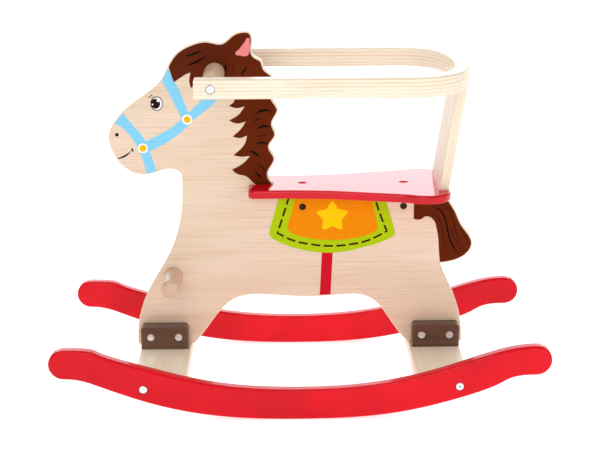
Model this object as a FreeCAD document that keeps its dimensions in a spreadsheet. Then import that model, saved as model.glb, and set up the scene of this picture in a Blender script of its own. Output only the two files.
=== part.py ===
import FreeCAD, Part
import math
import os

# A wooden rocking horse: one cut-out body panel on two cross boards and two curved rockers, with a
# seat board, a D-shaped safety ring on a leaning post, a hand bar and a foot bar.
# The horse faces -X. Its left side is -Y. Z is up, and the floor is Z = 0.

document = FreeCAD.newDocument("RockingHorse")

# ---------------------------------------------------------------- driving sizes, millimetres

SIZES = (
    ("rocker_length", 676, "tip to tip of one rocker"),
    ("rocker_thickness", 15, "rocker board"),
    ("rocker_mid_depth", 43, "height of the rocker at its middle"),
    ("rocker_shoulder_depth", 48.5, "height of the rocker where the boards meet it"),
    ("rocker_neck_depth", 46, "height of the rocker just before its tip"),
    ("rocker_tip_depth", 41.4, "diameter of the round tip"),
    ("rocker_tip_rise", 61, "underside of the tip above the floor"),
    ("stance_width", 300, "outside to outside of the rockers"),
    ("wood_round", 3, "rounding along the rocker edges"),
    ("board_width", 71, "cross board, along the horse"),
    ("board_thickness", 18, "cross board"),
    ("board_bolt_rise", 18.1, "board mid height above the rocker's underside at the bolt"),
    ("board_bolt_inset", 14, "bolt axis from the board's outer side"),
    ("board_pin_inset", 14, "pin axis from the board's inner side"),
    ("board_edge_round", 1, "rounding along the cross board edges"),
    ("panel_length", 507, "body panel, nose to tail"),
    ("panel_height", 451, "body panel, hoof to ear"),
    ("panel_thickness", 15, "body panel"),
    ("block_width", 67.5, "leg block, along the horse"),
    ("block_height", 34, "leg block"),
    ("block_depth", 18, "leg block, out from the panel"),
    ("block_shift", 1.6, "leg block centre beyond the board centre"),
    ("block_round", 6, "rounded upper corners of a leg block"),
    ("block_edge_round", 1.5, "rounding along the block's face edges"),
    ("block_bolt_spacing", 39.6, "between the two bolts of a leg"),
    ("block_bolt_height", 17.6, "leg bolts above the cross board"),
    ("block_screw_spacing", 20, "between the two screws under a block"),
    ("seat_length", 277.5, "seat board, front to back"),
    ("seat_thickness", 12, "seat board"),
    ("seat_nose", 34, "seat board forward of the back of the neck"),
    ("seat_front_width", 86, "across the seat beside the neck"),
    ("seat_rear_width", 156, "across the seat at its widest"),
    ("seat_front_round", 8, "front corners of the seat"),
    ("seat_rear_round", 32, "rear corners of the seat"),
    ("seat_edge_round", 3, "rounding along the seat edges"),
    ("seat_bolt_reach", 41, "front seat bolt behind the back of the neck"),
    ("seat_bolt_spacing", 141.5, "between the two seat bolts"),
    ("seat_nut_drop", 21, "seat barrel nut below the seat"),
    ("handle_diameter", 28, "hand bar"),
    ("footrest_diameter", 26, "foot bar"),
    ("footrest_length", 140, "foot bar, end to end"),
    ("footrest_round", 4, "rounded ends of the foot bar"),
    ("ring_outer_width", 258, "safety ring, outside to outside"),
    ("ring_band", 20, "safety ring, inside to outside"),
    ("ring_height", 26, "safety ring, top to bottom"),
    ("ring_corner_radius", 80, "outer corner of the ring"),
    ("ring_rear_radius", 211, "outer curve of the ring's back"),
    ("ring_arm_end", 21.7, "ring arm forward of the hand bar axis"),
    ("ring_edge_round", 2.5, "rounding along the ring edges"),
    ("ring_back_reach", 13, "ring's back beyond the middle of the post's top"),
    ("post_width", 92, "post, across the horse"),
    ("post_thickness", 13.9, "post board"),
    ("post_lean", 8.5, "post's backward lean, degrees"),
    ("post_inset", 2.5, "post's foot in front of the seat's rear edge"),
    ("post_edge_round", 1.5, "rounding along the post edges"),
    ("post_fixing_spacing", 56, "between the two screws or pins of the post"),
    ("bolt_diameter", 6, "all connector bolts"),
    ("bolt_head_diameter", 10.4, "connector bolt head"),
    ("bolt_head_height", 3.2, "connector bolt head"),
    ("bolt_key_width", 4, "hexagon socket, across corners"),
    ("bolt_key_depth", 2, "hexagon socket"),
    ("bolt_gap", 0.3, "clearance round a bolt's shank, on the radius"),
    ("head_recess_diameter", 12.4, "counterbore for a bolt head"),
    ("head_recess_depth", 3.8, "counterbore for a bolt head"),
    ("nut_diameter", 10, "barrel nuts"),
    ("nut_length", 12, "barrel nuts"),
    ("nut_setback", 25, "rocker barrel nut from the board's end"),
    ("nut_overrun", 6, "bolt beyond the axis of its nut"),
    ("pin_diameter", 8, "wooden pins"),
    ("pin_half_length", 10, "wooden pin in each of its two holes"),
    ("sleeve_diameter", 8, "sleeve nut body"),
    ("sleeve_shortfall", 2, "sleeve nut body short of the panel"),
    ("sleeve_floor", 4, "solid end of the sleeve nut behind its head"),
    ("insert_diameter", 9, "threaded insert in the hand bar"),
    ("insert_length", 14, "threaded insert in the hand bar"),
    ("screw_diameter", 4, "countersunk wood screws"),
    ("screw_head_diameter", 8, "countersunk wood screws"),
    ("screw_head_depth", 2.4, "cone of a countersunk head"),
    ("screw_bite", 22, "wood screw inside the piece that it holds"),
    ("slot_gap", 0.5, "clearance of the seat slot round the neck"),
)

sheet = document.addObject("Spreadsheet::Sheet", "Sizes")
for row, (alias, value, meaning) in enumerate(SIZES, start=1):
    sheet.set(f"A{row}", meaning)
    sheet.set(f"B{row}", str(value))
    sheet.setAlias(f"B{row}", alias)
document.recompute()


def size(alias):
    """The sheet's own value for one size."""
    return float(sheet.get(alias))


# ---------------------------------------------------------------- ways of building

def bind(item, bindings):
    """Bind properties to expressions in which a size is written by its alias."""
    for path, expression in bindings.items():
        words = expression.replace("(", " ( ").replace(")", " ) ").split()
        words = ["Sizes." + word if word in ALIASES else word for word in words]
        item.setExpression(path, " ".join(words))


ALIASES = {alias for alias, value, meaning in SIZES}


def place(item, x="0", y="0", z="0", axis=(0, 0, 1), angle=0):
    """Turn an object about one axis, and bind where it stands."""
    item.Placement = FreeCAD.Placement(FreeCAD.Vector(), FreeCAD.Rotation(FreeCAD.Vector(axis), angle))
    bind(item, {"Placement.Base.x": x, "Placement.Base.y": y, "Placement.Base.z": z})
    return item


def cylinder(name, diameter, length, x="0", y="0", z="0", axis=(0, 0, 1), angle=0):
    item = document.addObject("Part::Cylinder", name)
    bind(item, {"Radius": f"{diameter} / 2", "Height": length})
    return place(item, x, y, z, axis, angle)


def cone(name, low_diameter, high_diameter, length, x="0", y="0", z="0"):
    item = document.addObject("Part::Cone", name)
    bind(item, {"Radius1": f"{low_diameter} / 2", "Radius2": f"{high_diameter} / 2", "Height": length})
    return place(item, x, y, z)


def fused(name, pieces):
    item = document.addObject("Part::MultiFuse", name)
    item.Shapes = pieces
    return item


def cut(name, base, tools):
    """One object less all the tools."""
    item = document.addObject("Part::Cut", name)
    item.Base = base
    item.Tool = tools[0] if len(tools) == 1 else fused(name + "_drilling", tools)
    item.Label = name
    return item


def group(name, members):
    """Like fasteners, kept as separate solids in one sub-part."""
    item = document.addObject("Part::Compound", name)
    item.Links = members
    item.Label = name
    return item


def curve(points, start=None, end=None):
    """A smooth curve through its points, with a direction at either end where one is given."""
    vectors = [FreeCAD.Vector(x, y, 0) for x, y in points]
    line = Part.BSplineCurve()
    ends = {}
    if start:
        ends["InitialTangent"] = FreeCAD.Vector(start[0], start[1], 0)
    if end:
        ends["FinalTangent"] = FreeCAD.Vector(end[0], end[1], 0)
    line.interpolate(Points=vectors, **ends)
    return line


def straight(first, last):
    return Part.LineSegment(FreeCAD.Vector(*first, 0), FreeCAD.Vector(*last, 0))


def closed(corners):
    """Straight sides from corner to corner, and back to the first."""
    return [straight(first, last) for first, last in zip(corners, corners[1:] + corners[:1])]


def arc(first, middle, last):
    return Part.Arc(FreeCAD.Vector(*first, 0), FreeCAD.Vector(*middle, 0), FreeCAD.Vector(*last, 0))


def board(name, role, outline, thickness, rounding=None, keep_sharp=None):
    """A board cut to a closed outline, as thick to each side of its plane. Its face edges are rounded
    where a rounding is given, apart from those to be kept sharp."""
    body = document.addObject("PartDesign::Body", name)
    sketch = body.newObject("Sketcher::SketchObject", name + "_outline")
    plane = next(item for item in body.Origin.OriginFeatures if item.Role == role)
    sketch.AttachmentSupport = (plane, [""])
    sketch.MapMode = "FlatFace"
    for line in outline:
        sketch.addGeometry(line, False)
    pad = body.newObject("PartDesign::Pad", name + "_thickness")
    pad.Profile = sketch
    pad.Midplane = True
    bind(pad, {"Length": thickness})
    body.Tip = pad
    if not rounding:
        return body
    document.recompute()
    normal = {"XY_Plane": 2, "XZ_Plane": 1, "YZ_Plane": 0}[role]
    edges = []
    for number, edge in enumerate(pad.Shape.Edges, start=1):
        middle = edge.valueAt((edge.FirstParameter + edge.LastParameter) / 2)
        ends = [vertex.Point[normal] for vertex in edge.Vertexes]
        lies_in_face = max(ends) - min(ends) < 0.001
        if lies_in_face and not (keep_sharp and keep_sharp(middle)):
            edges.append(f"Edge{number}")
    fillet = body.newObject("PartDesign::Fillet", name + "_rounding")
    fillet.Base = (pad, edges)
    bind(fillet, {"Radius": rounding})
    body.Tip = fillet
    return body


def socket_bolt(name, length, **where):
    """A connector bolt: its head stands below its own origin, and its shank runs up from it."""
    shank = cylinder(name + "_shank", "bolt_diameter", length)
    head = cylinder(name + "_head", "bolt_head_diameter", "bolt_head_height", z="0 - bolt_head_height")
    socket = document.addObject("Part::Prism", name + "_socket")
    socket.Polygon = 6
    bind(socket, {"Circumradius": "bolt_key_width / 2", "Height": "bolt_key_depth"})
    place(socket, z="0 - bolt_head_height")
    return place(cut(name, fused(name + "_blank", [shank, head]), [socket]), **where)


def head_hole(name, length, **where):
    """The counterbore and clearance hole that take a connector bolt, from the face inwards."""
    shaft = cylinder(name + "_shaft", "( bolt_diameter + 2 * bolt_gap )", length)
    recess = cylinder(name + "_recess", "head_recess_diameter", "head_recess_depth")
    return place(fused(name, [shaft, recess]), **where)


def barrel_nut(name, x, y, z, axis, angle, bore_axis, bore_angle):
    """A short steel rod with a threaded cross hole, here the bolt's own diameter."""
    rod = cylinder(name + "_rod", "nut_diameter", "nut_length", z="0 - nut_length / 2")
    bore = cylinder(name + "_bore", "bolt_diameter", "nut_diameter", axis=bore_axis, angle=bore_angle)
    shift = {(1, 0, 0): "Placement.Base.y", (0, 1, 0): "Placement.Base.x"}[bore_axis]
    bind(bore, {shift: "0 - nut_diameter / 2"})
    return place(cut(name, rod, [bore]), x, y, z, axis, angle)


def wood_screw(name, grip, x, y, z):
    """A countersunk screw driven upwards: flush head at the bottom, then a plain shank."""
    head = cone(name + "_head", "screw_head_diameter", "screw_diameter", "screw_head_depth")
    shank = cylinder(name + "_shank", "screw_diameter", f"{grip} + screw_bite")
    return place(fused(name, [head, shank]), x, y, z)


def sink(name, grip, x, y):
    """The countersunk hole for such a screw, from a board's underside through the board."""
    head = cone(name + "_head", "screw_head_diameter", "screw_diameter", "screw_head_depth")
    shaft = cylinder(name + "_shaft", "screw_diameter", grip)
    return place(fused(name, [head, shaft]), x, y, f"0 - {grip} / 2")


# Directions of a drilled hole, as the turn that takes +Z there.
LEFT_TO_RIGHT = {"axis": (1, 0, 0), "angle": -90}
RIGHT_TO_LEFT = {"axis": (1, 0, 0), "angle": 90}
DOWN = {"axis": (1, 0, 0), "angle": 180}
LEFT, RIGHT = -1, 1
SIDES = (("left", LEFT, LEFT_TO_RIGHT), ("right", RIGHT, RIGHT_TO_LEFT))


def derived(row, alias, value, meaning):
    """A place that follows from the driving sizes, kept in the sheet so that pieces can use it."""
    sheet.set(f"A{row}", meaning)
    sheet.set(f"B{row}", repr(round(value, 6)))
    sheet.setAlias(f"B{row}", alias)
    ALIASES.add(alias)


# ---------------------------------------------------------------- the body panel's drawing

# The panel is drawn 507 long and 451 high, from the hoof line upwards, and set out to its real size.
DRAWN_LENGTH, DRAWN_HEIGHT = 507, 451
SEAT_LINE = 225.5
NECK_BACK = -35.5
SLOT_TOP = 239.5
HANDLE_AT = (-113.5, 395)
FOOTREST_AT = (-178, 104.7)
FRONT_LEG_X, REAR_LEG_X = -190.5, 192.8


def at(x, z):
    """A point of the drawing, at the panel's real size."""
    return x * size("panel_length") / DRAWN_LENGTH, z * size("panel_height") / DRAWN_HEIGHT


def drawn(points, start=None, end=None):
    return curve([at(x, z) for x, z in points], start, end)


FRONT_HOOF = ((-231.5, 1), (-151.5, 1))
REAR_HOOF = ((156.5, 1), (233.5, 1))
LEG_ARCH = (FRONT_HOOF[1], (-141, 13.2), (-122, 39.4), (-107, 57.3), (-91, 69.4), (-73, 74.3), (-42, 74.6),
            (13, 71.2), (60, 73.7), (93.4, 71.9), (108.8, 63.2), (121.7, 48), (145.7, 12.6), REAR_HOOF[0])
RUMP = (REAR_HOOF[1], (232.5, 25.6), (228, 50), (219.6, 75.6), (206, 106), (200.5, 119.5))
TAIL = (RUMP[-1], (220, 123), (238, 133), (245.5, 148), (240, 163), (229, 178), (220, 198), (213, 209),
        (207, SEAT_LINE))
# One smooth line from the top of the seat's slot: up the scalloped mane, over the ear and the poll, down
# the face, round the jaw, and down the throat and the chest to the front hoof.
HEAD = ((NECK_BACK, SLOT_TOP), (-40.5, 258), (-32.5, 275), (-40, 291), (-31, 308),
        (-35.5, 323), (-27.5, 343), (-36, 360), (-31, 376), (-37, 392), (-46, 400), (-50, 411), (-60, 417.5),
        (-62.5, 425), (-61.5, 441), (-65, 449.5), (-76, 451), (-88, 446.5), (-103, 435.5),
        (-121, 438), (-143, 434.5), (-162, 424.5), (-174, 410), (-187, 385),
        (-208, 366.5), (-238, 344), (-253, 327), (-261.5, 307), (-258, 289), (-246, 268),
        (-226, 254.3), (-205, 253.5), (-179, 260.5), (-164.5, 255),
        (-162, 240), (-163.5, 205), (-168.5, 177), (-179, 145), (-204, 100.5), (-221.5, 65),
        (-230.5, 30), FRONT_HOOF[0])

# ---------------------------------------------------------------- the rocker's outline

# The rocker's edges pass through points at these shares of the way from its middle to its tip.
STATION_SHARES = (0.378, 0.63, 0.851)
RISE_SHARES = (0.107, 0.393, 0.811)


def rocker_edges():
    """The rocker's underside, left to right, and its upper edge, right to left."""
    tip_x = (size("rocker_length") - size("rocker_tip_depth")) / 2
    rise = size("rocker_tip_rise")
    waist = (size("rocker_mid_depth") + size("rocker_shoulder_depth")) / 2
    depths = (waist, size("rocker_shoulder_depth"), size("rocker_neck_depth"))
    low = [(tip_x * along, rise * share) for along, share in zip(STATION_SHARES, RISE_SHARES)]
    high = [(x, z + depth) for (x, z), depth in zip(low, depths)]
    low = [(0, 0)] + low + [(tip_x, rise)]
    high = [(0, size("rocker_mid_depth"))] + high + [(tip_x, rise + size("rocker_tip_depth"))]
    underside = [(-x, z) for x, z in reversed(low[1:])] + low
    upper = list(reversed(high)) + [(-x, z) for x, z in high[1:]]
    return curve(underside, (1, 0), (1, 0)), curve(upper, (-1, 0), (-1, 0)), low[-1], high[-1]


def height_on(line, x):
    """The height of a left-to-right curve above one place on the floor."""
    low, high = line.FirstParameter, line.LastParameter
    while high - low > 1e-9:
        middle = (low + high) / 2
        if line.value(middle).x < x:
            low = middle
        else:
            high = middle
    return line.value(low).y


underside, upper_edge, tip_low, tip_high = rocker_edges()
front_board_x = at(FRONT_LEG_X, 0)[0]
rear_board_x = at(REAR_LEG_X, 0)[0]
bolt_reach = size("board_width") / 2 - size("board_bolt_inset")
pin_reach = size("board_width") / 2 - size("board_pin_inset")
board_z = height_on(underside, bolt_reach - front_board_x) + size("board_bolt_rise")
deck_z = board_z + size("board_thickness") / 2
seat_z = deck_z + at(0, SEAT_LINE)[1]
seat_top_z = seat_z + size("seat_thickness")
handle_x, handle_z = at(*HANDLE_AT)
footrest_x, footrest_z = at(*FOOTREST_AT)
neck_back_x = at(NECK_BACK, 0)[0]
lean = math.tan(math.radians(size("post_lean")))
post_foot = size("post_thickness") / math.cos(math.radians(size("post_lean")))
post_height = deck_z + handle_z - size("ring_height") / 2 - seat_top_z
seat_rear_x = neck_back_x - size("seat_nose") + size("seat_length")
post_x = seat_rear_x - size("post_inset") - post_foot / 2
post_top_x = post_x + post_height * lean

PLACES = (
    ("front_board_x", front_board_x, "middle of the front cross board"),
    ("rear_board_x", rear_board_x, "middle of the rear cross board"),
    ("board_z", board_z, "cross boards, mid height"),
    ("deck_z", deck_z, "top of the cross boards, where the hooves stand"),
    ("seat_z", seat_z, "underside of the seat"),
    ("handle_x", handle_x, "hand bar axis"),
    ("handle_z", deck_z + handle_z, "hand bar axis"),
    ("footrest_x", footrest_x, "foot bar axis"),
    ("footrest_z", deck_z + footrest_z, "foot bar axis"),
    ("neck_back_x", neck_back_x, "back of the neck at the seat"),
    ("post_x", post_x, "middle of the post's foot"),
    ("post_height", post_height, "seat to ring"),
    ("post_top_x", post_top_x, "middle of the post's top"),
)
for row, (alias, value, meaning) in enumerate(PLACES, start=len(SIZES) + 2):
    derived(row, alias, value, meaning)
document.recompute()

# ---------------------------------------------------------------- rockers


def rocker(name, side, inwards):
    """One rocker: a curved board with round tips, drilled for two bolts and two blind pins."""
    outline = (
        underside,
        arc(tip_low, (size("rocker_length") / 2, (tip_low[1] + tip_high[1]) / 2), tip_high),
        upper_edge,
        arc((-tip_high[0], tip_high[1]), (-size("rocker_length") / 2, (tip_low[1] + tip_high[1]) / 2),
            (-tip_low[0], tip_low[1])),
    )
    blank = board(name + "_blank", "XZ_Plane", outline, "rocker_thickness", "wood_round")
    holes = []
    for end, board_x, outwards in BOARDS:
        bolt_x = f"{board_x} + {outwards} * ( board_width / 2 - board_bolt_inset )"
        pin_x = f"{board_x} - {outwards} * ( board_width / 2 - board_pin_inset )"
        holes.append(head_hole(f"{name}_{end}_bolt_hole", "rocker_thickness + bolt_gap", x=bolt_x,
                               y=f"{side} * rocker_thickness / 2", z="board_z", **inwards))
        holes.append(cylinder(f"{name}_{end}_pin_hole", "pin_diameter", "pin_half_length", pin_x,
                              f"{side} * ( pin_half_length - rocker_thickness / 2 )", "board_z", **inwards))
    return place(cut(name, blank, holes), y=f"{side} * ( stance_width - rocker_thickness ) / 2")


BOARDS = (("front", "front_board_x", -1), ("rear", "rear_board_x", 1))
rockers = [rocker(f"{hand}_rocker", side, inwards) for hand, side, inwards in SIDES]

# ---------------------------------------------------------------- cross boards and their fixings

BOARD_SPAN = "( stance_width - 2 * rocker_thickness )"
BLOCK_Y = "( panel_thickness / 2 + block_depth / 2 )"


def rectangle(length, width):
    right, top = length / 2, width / 2
    return closed(((-right, -top), (right, -top), (right, top), (-right, top)))


def cross_board(end, board_x, outwards):
    """A plank from rocker to rocker, drilled in its ends, and from below for nuts and screws."""
    name = f"{end}_cross_board"
    span = size("stance_width") - 2 * size("rocker_thickness")
    blank = board(name + "_blank", "XY_Plane", rectangle(size("board_width"), span), "board_thickness",
                  "board_edge_round", keep_sharp=lambda point: abs(abs(point.y) - span / 2) < 0.001)
    holes = []
    bolt_x = f"{outwards} * ( board_width / 2 - board_bolt_inset )"
    pin_x = f"0 - {outwards} * ( board_width / 2 - board_pin_inset )"
    for hand, side, inwards in SIDES:
        label = f"{name}_{hand}"
        face = f"{side} * {BOARD_SPAN} / 2"
        holes.append(cylinder(label + "_bolt_hole", "( bolt_diameter + 2 * bolt_gap )",
                              "nut_setback + nut_overrun + bolt_gap", bolt_x, face, **inwards))
        holes.append(cylinder(label + "_nut_hole", "nut_diameter", "( board_thickness + nut_length ) / 2",
                              bolt_x, f"{face} - {side} * nut_setback", "0 - board_thickness / 2"))
        holes.append(cylinder(label + "_pin_hole", "pin_diameter", "pin_half_length", pin_x, face, **inwards))
        for number, shift in enumerate((-1, 1), start=1):
            screw_x = f"{outwards} * block_shift + {shift} * block_screw_spacing / 2"
            holes.append(sink(f"{label}_screw_hole_{number}", "board_thickness", screw_x,
                              f"{side} * {BLOCK_Y}"))
    return place(cut(name, blank, holes), board_x, "0", "board_z")


cross_boards = [cross_board(*each) for each in BOARDS]

rocker_bolts, rocker_nuts, rocker_pins, board_screws = [], [], [], []
for end, board_x, outwards in BOARDS:
    bolt_x = f"{board_x} + {outwards} * ( board_width / 2 - board_bolt_inset )"
    pin_x = f"{board_x} - {outwards} * ( board_width / 2 - board_pin_inset )"
    for hand, side, inwards in SIDES:
        rocker_bolts.append(socket_bolt(
            f"{end}_{hand}_rocker_bolt", "rocker_thickness - head_recess_depth + nut_setback + nut_overrun",
            x=bolt_x, y=f"{side} * ( stance_width / 2 - head_recess_depth )", z="board_z", **inwards))
        rocker_nuts.append(barrel_nut(
            f"{end}_{hand}_rocker_nut", bolt_x, f"{side} * ( {BOARD_SPAN} / 2 - nut_setback )", "board_z",
            (0, 0, 1), 0, (1, 0, 0), -90))
        rocker_pins.append(cylinder(
            f"{end}_{hand}_rocker_pin", "pin_diameter", "2 * pin_half_length", pin_x,
            f"{side} * ( {BOARD_SPAN} / 2 + pin_half_length )", "board_z", **inwards))
        for number, shift in enumerate((-1, 1), start=1):
            board_screws.append(wood_screw(
                f"{end}_{hand}_board_screw_{number}", "board_thickness",
                f"{board_x} + {outwards} * block_shift + {shift} * block_screw_spacing / 2",
                f"{side} * {BLOCK_Y}", "deck_z - board_thickness"))

# ---------------------------------------------------------------- leg blocks and their bolts


def leg_block(end, board_x, outwards, hand, side, inwards):
    """A block that clamps a leg to its cross board, with round upper corners."""
    name = f"{end}_{hand}_leg_block"
    half, height, radius = size("block_width") / 2, size("block_height"), size("block_round")
    turn = radius * (1 - 0.5 ** 0.5)
    outline = (
        straight((-half, 0), (half, 0)),
        straight((half, 0), (half, height - radius)),
        arc((half, height - radius), (half - turn, height - turn), (half - radius, height)),
        straight((half - radius, height), (radius - half, height)),
        arc((radius - half, height), (turn - half, height - turn), (-half, height - radius)),
        straight((-half, height - radius), (-half, 0)),
    )
    blank = board(name + "_blank", "XZ_Plane", outline, "block_depth", "block_edge_round",
                  keep_sharp=lambda point: point.z < 0.001 or point.y * side < 0)
    holes = []
    for number, shift in enumerate((-1, 1), start=1):
        where = dict(x=f"{shift} * block_bolt_spacing / 2", y=f"{side} * block_depth / 2",
                     z="block_bolt_height", **inwards)
        if side == LEFT:
            holes.append(head_hole(f"{name}_bolt_hole_{number}", "block_depth + bolt_gap", **where))
        else:
            recess = cylinder(f"{name}_recess_{number}", "head_recess_diameter", "head_recess_depth")
            sleeve = cylinder(f"{name}_sleeve_hole_{number}", "sleeve_diameter", "block_depth + bolt_gap")
            holes.append(place(fused(f"{name}_nut_hole_{number}", [recess, sleeve]), **where))
        holes.append(cylinder(f"{name}_screw_hole_{number}", "screw_diameter", "screw_bite",
                              f"{shift} * block_screw_spacing / 2"))
    return place(cut(name, blank, holes), f"{board_x} + {outwards} * block_shift", f"{side} * {BLOCK_Y}",
                 "deck_z")


leg_blocks = [leg_block(*each, *side) for each in BOARDS for side in SIDES]

FIXING_Y = "( panel_thickness / 2 + block_depth - head_recess_depth )"


def sleeve_nut(name, **where):
    """The long nut of a leg bolt: a head like the bolt's, and a tube that takes the bolt's end."""
    tube = cylinder(name + "_tube", "sleeve_diameter",
                    "( block_depth - head_recess_depth - sleeve_shortfall )")
    head = cylinder(name + "_head", "bolt_head_diameter", "bolt_head_height", z="0 - bolt_head_height")
    bore = cylinder(name + "_bore", "bolt_diameter", "block_depth", z="sleeve_floor")
    return place(cut(name, fused(name + "_blank", [tube, head]), [bore]), **where)


leg_bolts, leg_nuts = [], []
for end, board_x, outwards in BOARDS:
    for number, shift in enumerate((-1, 1), start=1):
        bolt_x = f"{board_x} + {outwards} * block_shift + {shift} * block_bolt_spacing / 2"
        leg_bolts.append(socket_bolt(
            f"{end}_leg_bolt_{number}", f"2 * {FIXING_Y} - sleeve_floor",
            x=bolt_x, y=f"0 - {FIXING_Y}", z="deck_z + block_bolt_height", **LEFT_TO_RIGHT))
        leg_nuts.append(sleeve_nut(
            f"{end}_leg_nut_{number}", x=bolt_x, y=FIXING_Y, z="deck_z + block_bolt_height", **RIGHT_TO_LEFT))

# ---------------------------------------------------------------- body panel

panel_outline = (
    straight(at(*FRONT_HOOF[0]), at(*FRONT_HOOF[1])),
    drawn(LEG_ARCH),
    straight(at(*REAR_HOOF[0]), at(*REAR_HOOF[1])),
    drawn(RUMP, start=(0, 1)),
    drawn(TAIL, start=(1, 0.1)),
    straight(at(*TAIL[-1]), at(NECK_BACK, SEAT_LINE)),
    straight(at(NECK_BACK, SEAT_LINE), at(*HEAD[0])),
    drawn(HEAD, start=(0, 1)),
)
panel_blank = board("body_panel_blank", "XZ_Plane", panel_outline, "panel_thickness")
panel_holes = [
    cylinder("handle_hole", "handle_diameter", "2 * panel_thickness", "handle_x", "0 - panel_thickness",
             "handle_z - deck_z", **LEFT_TO_RIGHT),
    cylinder("footrest_hole", "footrest_diameter", "2 * panel_thickness", "footrest_x",
             "0 - panel_thickness", "footrest_z - deck_z", **LEFT_TO_RIGHT),
]
SEAT_BOLTS = (("front", "seat_bolt_reach"), ("rear", "seat_bolt_reach + seat_bolt_spacing"))
for end, reach in SEAT_BOLTS:
    bolt_x = f"neck_back_x + {reach}"
    panel_holes.append(cylinder(f"panel_{end}_seat_bolt_hole", "( bolt_diameter + 2 * bolt_gap )",
                                "seat_nut_drop + nut_overrun + bolt_gap", bolt_x, "0", "seat_z - deck_z",
                                **DOWN))
    panel_holes.append(cylinder(f"panel_{end}_seat_nut_hole", "nut_diameter", "2 * panel_thickness", bolt_x,
                                "0 - panel_thickness", "seat_z - deck_z - seat_nut_drop", **LEFT_TO_RIGHT))
for end, board_x, outwards in BOARDS:
    for number, shift in enumerate((-1, 1), start=1):
        bolt_x = f"{board_x} + {outwards} * block_shift + {shift} * block_bolt_spacing / 2"
        panel_holes.append(cylinder(f"panel_{end}_leg_bolt_hole_{number}", "( bolt_diameter + 2 * bolt_gap )",
                                    "2 * panel_thickness", bolt_x, "0 - panel_thickness",
                                    "block_bolt_height", **LEFT_TO_RIGHT))
body_panel = place(cut("body_panel", panel_blank, panel_holes), z="deck_z")

# ---------------------------------------------------------------- seat board and its bolts

# How the seat widens from its front width to its rear width, as shares of its length and of the widening.
SEAT_FLARE = ((0.343, 0.057), (0.512, 0.214), (0.68, 0.48), (0.89, 0.814))


def seat_outline():
    """The seat from above, its slot open at the front, with x from the back of the neck."""
    nose, rear = -size("seat_nose"), size("seat_length") - size("seat_nose")
    front_half, rear_half = size("seat_front_width") / 2, size("seat_rear_width") / 2
    front_round, rear_round = size("seat_front_round"), size("seat_rear_round")
    front_turn, rear_turn = front_round * (1 - 0.5 ** 0.5), rear_round * (1 - 0.5 ** 0.5)
    slot_half, slot_end = size("panel_thickness") / 2 + size("slot_gap"), size("slot_gap")
    run_start, run_end = nose + front_round, rear - rear_round
    side_points = [(run_start, front_half)]
    for along, out in SEAT_FLARE:
        side_points.append((run_start + along * (run_end - run_start),
                            front_half + out * (rear_half - front_half)))
    side_points.append((run_end, rear_half))
    outline = [
        straight((nose, slot_half), (slot_end, slot_half)),
        straight((slot_end, slot_half), (slot_end, -slot_half)),
        straight((slot_end, -slot_half), (nose, -slot_half)),
    ]
    for side in (-1, 1):
        edge = [
            straight((nose, side * slot_half), (nose, side * (front_half - front_round))),
            arc((nose, side * (front_half - front_round)),
                (nose + front_turn, side * (front_half - front_turn)), (run_start, side * front_half)),
            curve([(x, side * y) for x, y in side_points], (1, 0), (1, 0)),
            arc((run_end, side * rear_half), (rear - rear_turn, side * (rear_half - rear_turn)),
                (rear, side * (rear_half - rear_round))),
        ]
        outline.extend(edge)
    outline.append(straight((rear, rear_round - rear_half), (rear, rear_half - rear_round)))
    return outline


seat_blank = board("seat_board_blank", "XY_Plane", seat_outline(), "seat_thickness", "seat_edge_round",
                   keep_sharp=lambda point: point.x < 1 and abs(point.y) < size("panel_thickness"))
seat_holes = [head_hole(f"seat_{end}_bolt_hole", "seat_thickness + bolt_gap", x=reach, y="0",
                        z="seat_thickness / 2", **DOWN) for end, reach in SEAT_BOLTS]
post_fixings = (("left", LEFT), ("right", RIGHT))
POST_SCREW_X = f"post_x + screw_bite * {lean / 2:.5f}"
for hand, side in post_fixings:
    seat_holes.append(sink(f"seat_{hand}_post_screw_hole", "seat_thickness", f"{POST_SCREW_X} - neck_back_x",
                           f"{side} * post_fixing_spacing / 2"))
seat_board = place(cut("seat_board", seat_blank, seat_holes), "neck_back_x", "0",
                   "seat_z + seat_thickness / 2")

seat_bolts, seat_nuts = [], []
for end, reach in SEAT_BOLTS:
    seat_bolts.append(socket_bolt(
        f"{end}_seat_bolt", "seat_thickness - head_recess_depth + seat_nut_drop + nut_overrun",
        x=f"neck_back_x + {reach}", z="seat_z + seat_thickness - head_recess_depth", **DOWN))
    seat_nuts.append(barrel_nut(f"{end}_seat_nut", f"neck_back_x + {reach}", "0", "seat_z - seat_nut_drop",
                                (1, 0, 0), -90, (1, 0, 0), -90))

# ---------------------------------------------------------------- hand bar and foot bar

HANDLE_LENGTH = "( ring_outer_width - 2 * ring_band )"
bar = cylinder("handle_blank", "handle_diameter", HANDLE_LENGTH, "0", f"0 - {HANDLE_LENGTH} / 2", "0",
               **LEFT_TO_RIGHT)
bar_holes = [cylinder(f"handle_{hand}_insert_hole", "insert_diameter", "insert_length", "0",
                      f"{side} * {HANDLE_LENGTH} / 2", "0", **inwards) for hand, side, inwards in SIDES]
handle_dowel = place(cut("handle_dowel", bar, bar_holes), "handle_x", "0", "handle_z")

arm_bolts, arm_inserts = [], []
for hand, side, inwards in SIDES:
    arm_bolts.append(socket_bolt(
        f"{hand}_arm_bolt", "ring_band - head_recess_depth + insert_length", x="handle_x",
        y=f"{side} * ( ring_outer_width / 2 - head_recess_depth )", z="handle_z", **inwards))
    tube = cylinder(f"{hand}_insert_tube", "insert_diameter", "insert_length")
    bore = cylinder(f"{hand}_insert_bore", "bolt_diameter", "insert_length")
    arm_inserts.append(place(cut(f"{hand}_arm_insert", tube, [bore]), "handle_x",
                             f"{side} * {HANDLE_LENGTH} / 2", "handle_z", **inwards))

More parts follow.
